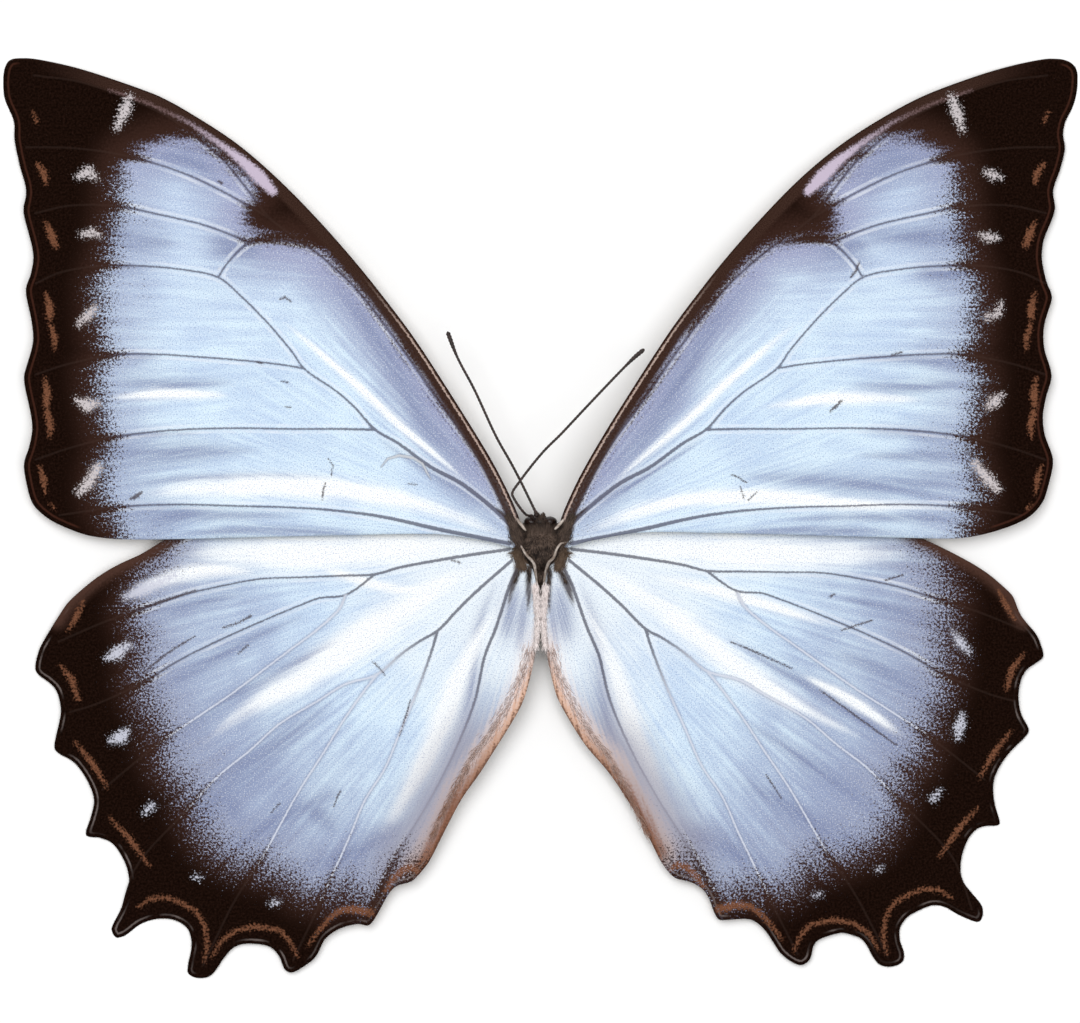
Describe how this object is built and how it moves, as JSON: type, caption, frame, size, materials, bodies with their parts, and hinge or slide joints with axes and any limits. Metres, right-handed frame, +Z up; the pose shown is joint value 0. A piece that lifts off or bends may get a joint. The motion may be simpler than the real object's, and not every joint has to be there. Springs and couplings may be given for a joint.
{
  "type": "spread butterfly specimen",
  "caption": "Dried butterfly with its wings spread flat, scalloped hindwings and two thin antennae, lying dorsal side up on its belly and wing tips.",
  "frame": {"origin": "middle of the flat belly patch under the thorax, on the surface that the specimen rests on", "axes": "+X to the specimen's right wing tips, +Y towards its head, +Z up out of its back"},
  "size_m": [0.13, 0.1113, 0.007],
  "materials": {
    "wing_scales": "pale satin blue scales with near-black borders",
    "body_hair": "dense dark brown hair",
    "head_shell": "dark brown shell and short hair",
    "antenna_shell": "dull dark brown shell",
    "leg_shell": "dull brown shell"
  },
  "bodies": {
    "root": {"thorax": "body_hair", "head": "head_shell", "forewing_left": "wing_scales", "forewing_right": "wing_scales", "hindwing_left": "wing_scales", "hindwing_right": "wing_scales", "antenna_left": "antenna_shell", "antenna_right": "antenna_shell", "leg_middle_left": "leg_shell", "leg_middle_right": "leg_shell", "leg_hind_left": "leg_shell", "leg_hind_right": "leg_shell"}
  },
  "joints": []
}
